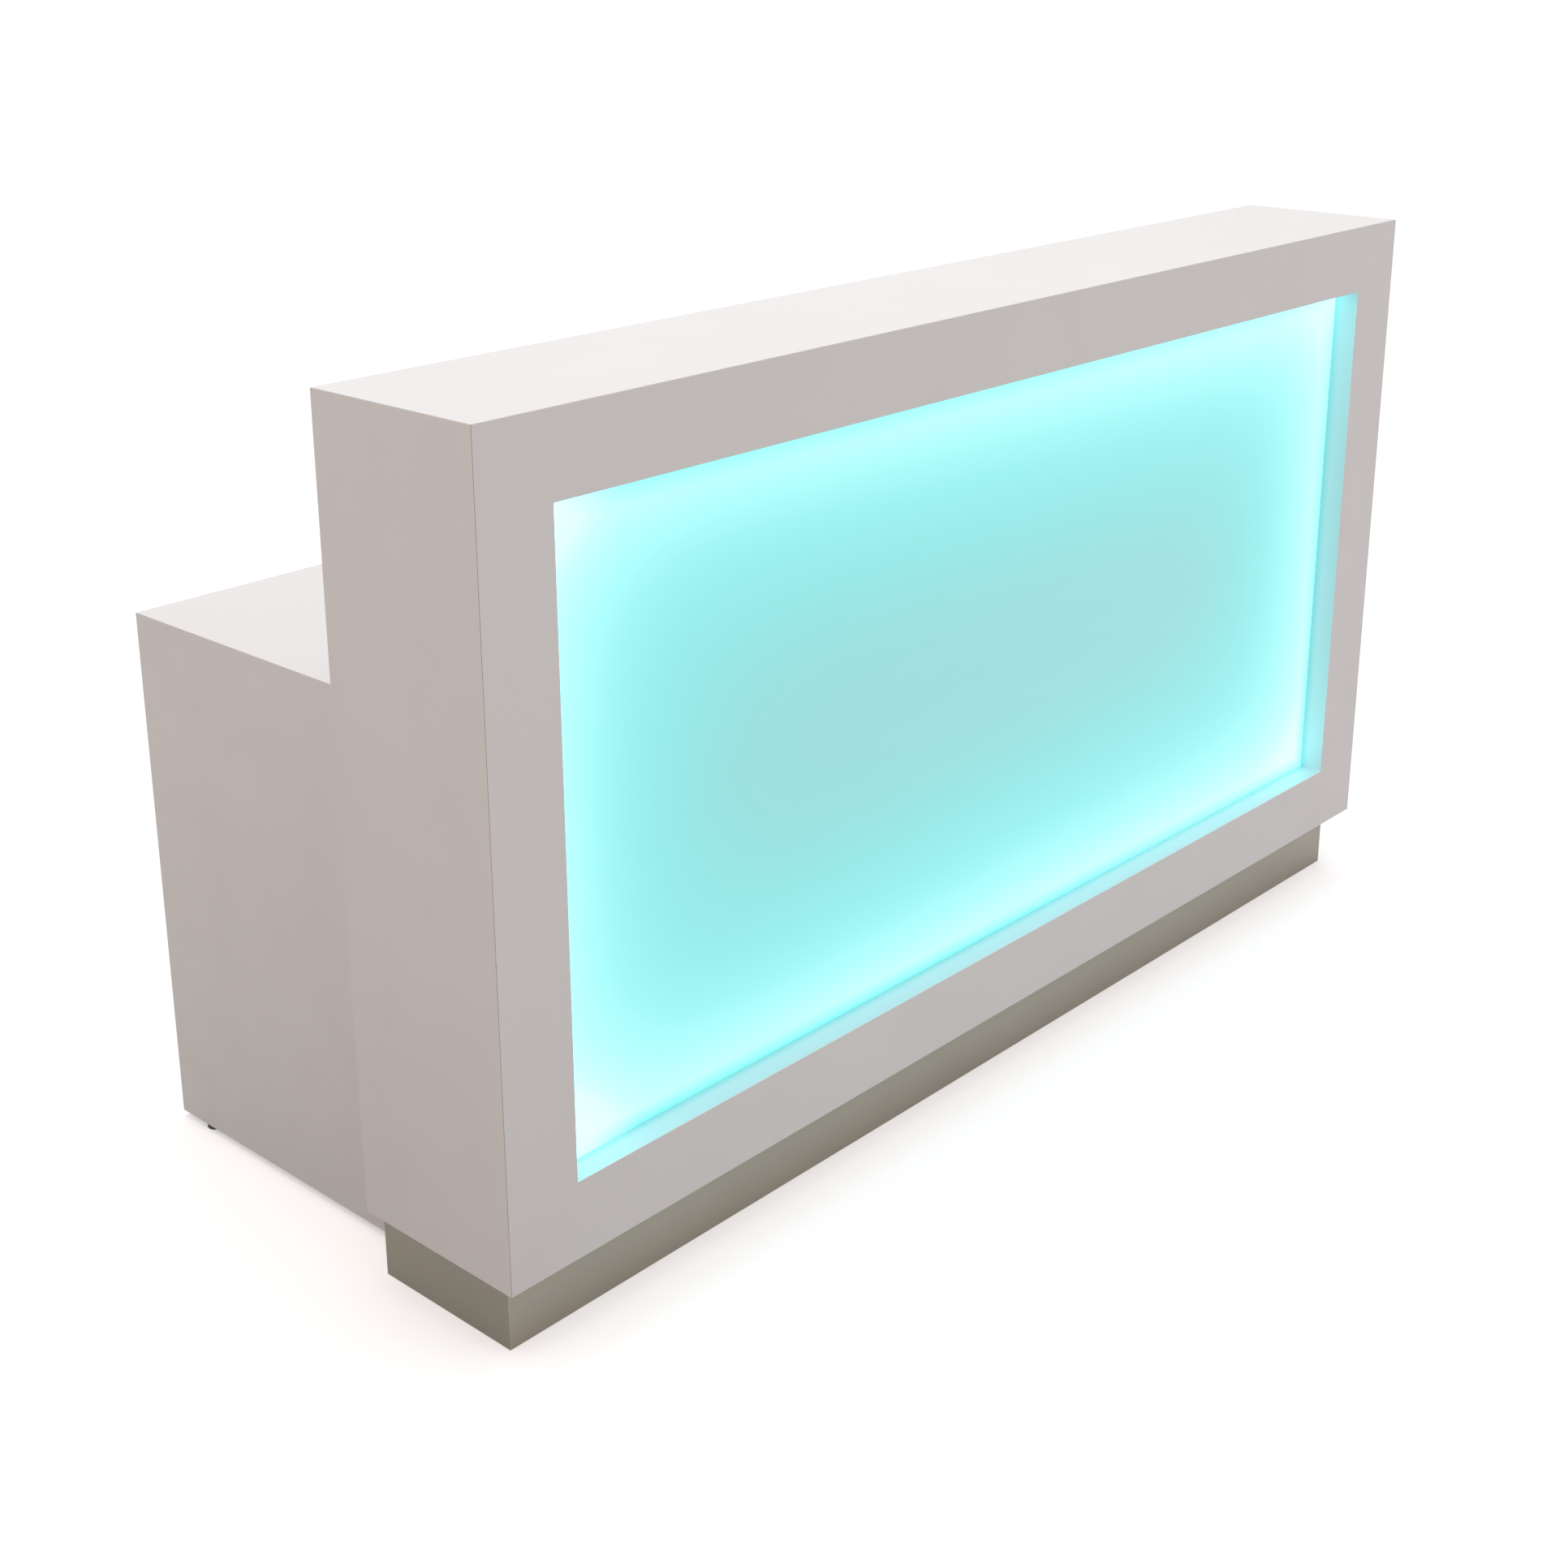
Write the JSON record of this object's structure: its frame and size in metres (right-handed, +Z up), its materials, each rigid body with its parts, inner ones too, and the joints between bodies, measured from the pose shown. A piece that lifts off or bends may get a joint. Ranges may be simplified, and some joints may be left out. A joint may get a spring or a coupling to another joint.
{
  "type": "reception desk",
  "caption": "Reception desk: a tall white counter with a lit aqua front panel on a steel-clad plinth, and a lower staff desk behind it with drawers, cable grommets and a service hatch.",
  "frame": {"origin": "on the floor, at the middle of the desk's width and depth", "axes": "+Z up, +X to the right of someone who faces the lit front, -Y towards the visitors and +Y towards the staff"},
  "size_m": [1.829, 0.741, 1.067],
  "materials": {
    "white_laminate": "satin white laminate on board",
    "aqua_acrylic": "opal aqua acrylic, lit from behind",
    "brushed_steel": "brushed",
    "reflector_white": "matte white",
    "strip_board": "white flexible strip with lamps",
    "birch_ply": "bare plywood",
    "black_plastic": "satin black",
    "foot_black": "black coated",
    "grey_plastic": "satin grey",
    "driver_case": "plain folded case",
    "lead_cover": "black sheath",
    "tray_board": "pale melamine"
  },
  "bodies": {
    "desk": {"front_fascia": "white_laminate", "counter_top": "white_laminate", "counter_bottom": "white_laminate", "counter_end_left": "white_laminate", "counter_end_right": "white_laminate", "back_panel_upper": "white_laminate", "back_panel_left": "white_laminate", "back_panel_right": "white_laminate", "hatch_hinge_fixed_leaf": "brushed_steel", "hatch_catch": "grey_plastic", "diffuser_panel": "aqua_acrylic", "lightbox_wall_top": "reflector_white", "lightbox_wall_bottom": "reflector_white", "lightbox_wall_left": "reflector_white", "lightbox_wall_right": "reflector_white", "reflector_panel": "reflector_white", "led_strip": "strip_board", "led_driver": "driver_case", "power_inlet": "black_plastic", "mains_lead": "lead_cover", "led_lead": "lead_cover", "plinth_rail_front": "birch_ply", "plinth_rail_back": "birch_ply", "plinth_rail_left": "birch_ply", "plinth_rail_right": "birch_ply", "kick_plate_front": "brushed_steel", "kick_plate_left": "brushed_steel", "kick_plate_right": "brushed_steel", "worksurface": "white_laminate", "gable_left": "white_laminate", "gable_right": "white_laminate", "ledger_rail": "white_laminate", "grommet_sleeve_left": "grey_plastic", "grommet_sleeve_right": "grey_plastic", "drawer_partition": "white_laminate", "drawer_floor": "white_laminate", "box_runner_fixed_left": "brushed_steel", "box_runner_fixed_right": "brushed_steel", "file_runner_fixed_left": "brushed_steel", "file_runner_fixed_right": "brushed_steel"},
    "hatch": {"service_hatch": "white_laminate", "hatch_hinge_moving_leaf": "brushed_steel", "hatch_knob": "brushed_steel"},
    "box_drawer": {"box_drawer_front": "white_laminate", "box_drawer_tray": "tray_board", "box_drawer_pull": "brushed_steel", "box_runner_moving_left": "brushed_steel", "box_runner_moving_right": "brushed_steel"},
    "file_drawer": {"file_drawer_front": "white_laminate", "file_drawer_tray": "tray_board", "file_drawer_pull": "brushed_steel", "file_runner_moving_left": "brushed_steel", "file_runner_moving_right": "brushed_steel"},
    "left_grommet_cap": {"grommet_cap_left": "grey_plastic"},
    "right_grommet_cap": {"grommet_cap_right": "grey_plastic"},
    "rocker": {"power_rocker": "black_plastic"},
    "left_front_foot": {"leveller_left_front": "foot_black"},
    "left_rear_foot": {"leveller_left_rear": "foot_black"},
    "right_front_foot": {"leveller_right_front": "foot_black"},
    "right_rear_foot": {"leveller_right_rear": "foot_black"}
  },
  "joints": [
    {"name": "hatch_swing", "type": "hinge", "parent": "desk", "child": "hatch", "pos_m": [-0.458, -0.1137, 0.369], "axis": [0, 0, 1], "range_deg": [0, 115]},
    {"name": "box_drawer_slide", "type": "slide", "parent": "desk", "child": "box_drawer", "axis": [0, 1, 0], "range_m": [0, 0.3]},
    {"name": "file_drawer_slide", "type": "slide", "parent": "desk", "child": "file_drawer", "axis": [0, 1, 0], "range_m": [0, 0.3]},
    {"name": "grommet_left_turn", "type": "hinge", "parent": "desk", "child": "left_grommet_cap", "pos_m": [-0.5895, -0.0275, 0.704], "axis": [0, 0, 1], "continuous": true},
    {"name": "grommet_right_turn", "type": "hinge", "parent": "desk", "child": "right_grommet_cap", "pos_m": [0.1705, -0.0275, 0.704], "axis": [0, 0, 1], "continuous": true},
    {"name": "power_rocker_tilt", "type": "hinge", "parent": "desk", "child": "rocker", "pos_m": [0.2365, -0.11695, 0.5577], "axis": [-1, 0, 0], "range_deg": [0, 20]},
    {"name": "leveller_left_front_turn", "type": "hinge", "parent": "desk", "child": "left_front_foot", "pos_m": [-0.834, -0.0622, 0.004], "axis": [0, 0, 1], "continuous": true},
    {"name": "leveller_left_rear_turn", "type": "hinge", "parent": "desk", "child": "left_rear_foot", "pos_m": [-0.834, 0.3155, 0.004], "axis": [0, 0, 1], "continuous": true},
    {"name": "leveller_right_front_turn", "type": "hinge", "parent": "desk", "child": "right_front_foot", "pos_m": [0.834, -0.0622, 0.004], "axis": [0, 0, 1], "continuous": true},
    {"name": "leveller_right_rear_turn", "type": "hinge", "parent": "desk", "child": "right_rear_foot", "pos_m": [0.834, 0.3155, 0.004], "axis": [0, 0, 1], "continuous": true}
  ]
}
